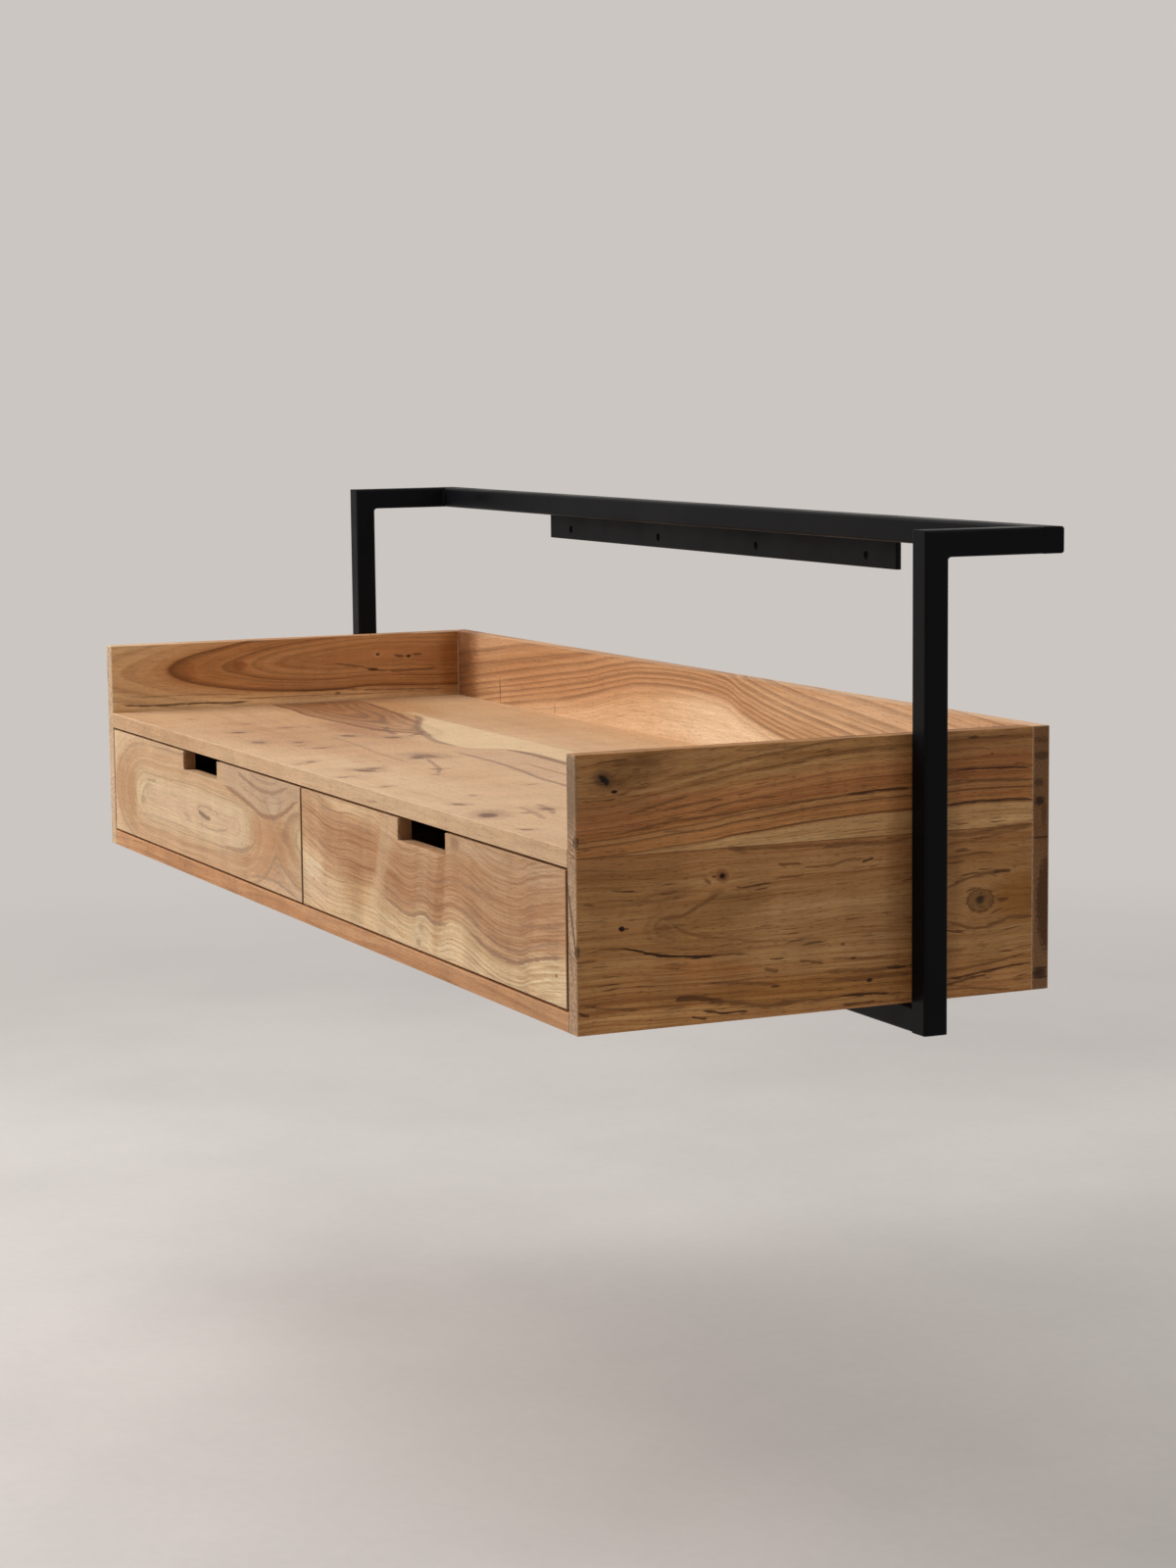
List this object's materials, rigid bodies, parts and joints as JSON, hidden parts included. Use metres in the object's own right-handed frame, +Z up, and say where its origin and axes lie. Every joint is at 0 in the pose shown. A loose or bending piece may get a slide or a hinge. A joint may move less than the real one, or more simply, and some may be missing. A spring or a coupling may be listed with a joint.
{
  "type": "floating wall desk",
  "caption": "Wall-hung desk: solid wood case with raised lips and side-by-side drawers, carried by a square-tube steel frame that screws to the wall.",
  "frame": {"origin": "middle of the row of screw holes in the wall plate, on the wall's plane", "axes": "+X along the wall to the right, +Y into the wall, +Z up; the drawers open towards -Y"},
  "size_m": [1.45, 0.494, 0.465],
  "materials": {
    "acacia": "oiled acacia, satin",
    "acacia_front": "oiled acacia, satin",
    "drawer_wood": "plain acacia, matt",
    "plywood": "sanded plywood",
    "beech": "raw beech",
    "black_steel": "black powder coat, satin",
    "black_plastic": "matt black",
    "rubber": "matt black rubber",
    "zinc_steel": "zinc plated",
    "cage_steel": "bright strip",
    "ball_steel": "polished balls"
  },
  "bodies": {
    "root": {"left_side_panel": "acacia", "right_side_panel": "acacia", "back_panel": "acacia", "desktop_panel": "acacia", "bottom_panel": "acacia", "centre_divider": "acacia", "carcass_dowels": "beech", "left_post": "black_steel", "right_post": "black_steel", "left_arm": "black_steel", "right_arm": "black_steel", "rear_rail": "black_steel", "crossbar": "black_steel", "wall_plate": "black_steel", "frame_welds": "black_steel", "rail_end_caps": "black_plastic", "post_foot_caps": "black_plastic", "crossbar_pads": "rubber", "wall_bumpers": "rubber", "crossbar_screws": "zinc_steel", "post_bolts": "zinc_steel", "post_rivet_nuts": "zinc_steel", "left_drawer_cabinet_screws": "zinc_steel", "left_drawer_left_outer_rail": "zinc_steel", "left_drawer_right_outer_rail": "zinc_steel", "right_drawer_cabinet_screws": "zinc_steel", "right_drawer_left_outer_rail": "zinc_steel", "right_drawer_right_outer_rail": "zinc_steel"},
    "left_drawer": {"left_drawer_front": "acacia_front", "left_drawer_left_side": "drawer_wood", "left_drawer_right_side": "drawer_wood", "left_drawer_back": "drawer_wood", "left_drawer_bottom": "plywood", "left_drawer_dowels": "beech", "left_drawer_runner_screws": "zinc_steel", "left_drawer_left_inner_rail": "zinc_steel", "left_drawer_right_inner_rail": "zinc_steel"},
    "left_middle_rails": {"left_drawer_left_middle_rail": "zinc_steel", "left_drawer_right_middle_rail": "zinc_steel"},
    "left_outer_cages": {"left_drawer_outer_cages": "cage_steel", "left_drawer_outer_balls": "ball_steel"},
    "left_inner_cages": {"left_drawer_inner_cages": "cage_steel", "left_drawer_inner_balls": "ball_steel"},
    "right_drawer": {"right_drawer_front": "acacia_front", "right_drawer_left_side": "drawer_wood", "right_drawer_right_side": "drawer_wood", "right_drawer_back": "drawer_wood", "right_drawer_bottom": "plywood", "right_drawer_dowels": "beech", "right_drawer_runner_screws": "zinc_steel", "right_drawer_left_inner_rail": "zinc_steel", "right_drawer_right_inner_rail": "zinc_steel"},
    "right_middle_rails": {"right_drawer_left_middle_rail": "zinc_steel", "right_drawer_right_middle_rail": "zinc_steel"},
    "right_outer_cages": {"right_drawer_outer_cages": "cage_steel", "right_drawer_outer_balls": "ball_steel"},
    "right_inner_cages": {"right_drawer_inner_cages": "cage_steel", "right_drawer_inner_balls": "ball_steel"}
  },
  "joints": [
    {"name": "left_drawer_slide", "type": "slide", "parent": "root", "child": "left_drawer", "axis": [0, -1, 0], "range_m": [0, 0.4]},
    {"name": "left_middle_rails_slide", "type": "slide", "parent": "root", "child": "left_middle_rails", "axis": [0, -1, 0], "range_m": [0, 0.2]},
    {"name": "left_outer_cages_slide", "type": "slide", "parent": "root", "child": "left_outer_cages", "axis": [0, -1, 0], "range_m": [0, 0.1]},
    {"name": "left_inner_cages_slide", "type": "slide", "parent": "root", "child": "left_inner_cages", "axis": [0, -1, 0], "range_m": [0, 0.3]},
    {"name": "right_drawer_slide", "type": "slide", "parent": "root", "child": "right_drawer", "axis": [0, -1, 0], "range_m": [0, 0.4]},
    {"name": "right_middle_rails_slide", "type": "slide", "parent": "root", "child": "right_middle_rails", "axis": [0, -1, 0], "range_m": [0, 0.2]},
    {"name": "right_outer_cages_slide", "type": "slide", "parent": "root", "child": "right_outer_cages", "axis": [0, -1, 0], "range_m": [0, 0.1]},
    {"name": "right_inner_cages_slide", "type": "slide", "parent": "root", "child": "right_inner_cages", "axis": [0, -1, 0], "range_m": [0, 0.3]}
  ],
  "couplings": [
    {"joint": "left_middle_rails_slide", "follows": "left_drawer_slide", "ratio": 0.5},
    {"joint": "left_outer_cages_slide", "follows": "left_drawer_slide", "ratio": 0.25},
    {"joint": "left_inner_cages_slide", "follows": "left_drawer_slide", "ratio": 0.75},
    {"joint": "right_middle_rails_slide", "follows": "right_drawer_slide", "ratio": 0.5},
    {"joint": "right_outer_cages_slide", "follows": "right_drawer_slide", "ratio": 0.25},
    {"joint": "right_inner_cages_slide", "follows": "right_drawer_slide", "ratio": 0.75}
  ]
}
